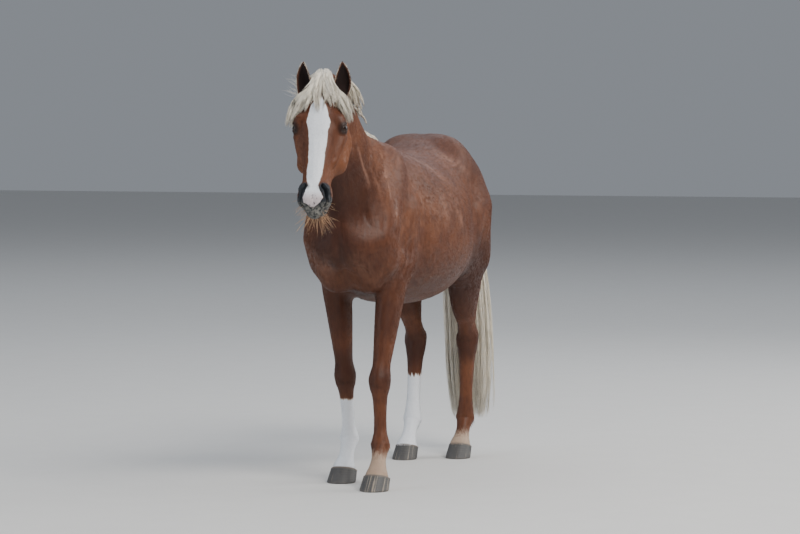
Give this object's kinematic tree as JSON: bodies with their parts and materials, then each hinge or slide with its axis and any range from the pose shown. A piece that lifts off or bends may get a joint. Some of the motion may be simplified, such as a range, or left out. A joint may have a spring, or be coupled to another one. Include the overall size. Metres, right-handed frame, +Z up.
{
  "type": "horse",
  "caption": "Life-size still model of a standing chestnut horse with a flaxen mane, forelock and tail, a white blaze and white lower legs, its head turned slightly to its left.",
  "frame": {"origin": "on the floor, under the middle of the horse's bounding box", "axes": "+X to the horse's left, +Y towards its tail, +Z up"},
  "size_m": [0.5682, 2.2097, 1.7306],
  "materials": {
    "coat": "short glossy chestnut hair over skin",
    "hair": "long flaxen hair",
    "horn": "dark hoof horn, smooth and slightly striped",
    "eye": "wet dark brown eye"
  },
  "bodies": {
    "root": {"head": "coat", "neck": "coat", "trunk": "coat", "foreleg_left": "coat", "foreleg_right": "coat", "hindleg_left": "coat", "hindleg_right": "coat", "ear_left": "coat", "ear_right": "coat", "mane": "hair", "forelock": "hair", "tail": "hair", "hoof_fore_left": "horn", "hoof_fore_right": "horn", "hoof_hind_left": "horn", "hoof_hind_right": "horn", "eye_left": "eye", "eye_right": "eye"}
  },
  "joints": []
}
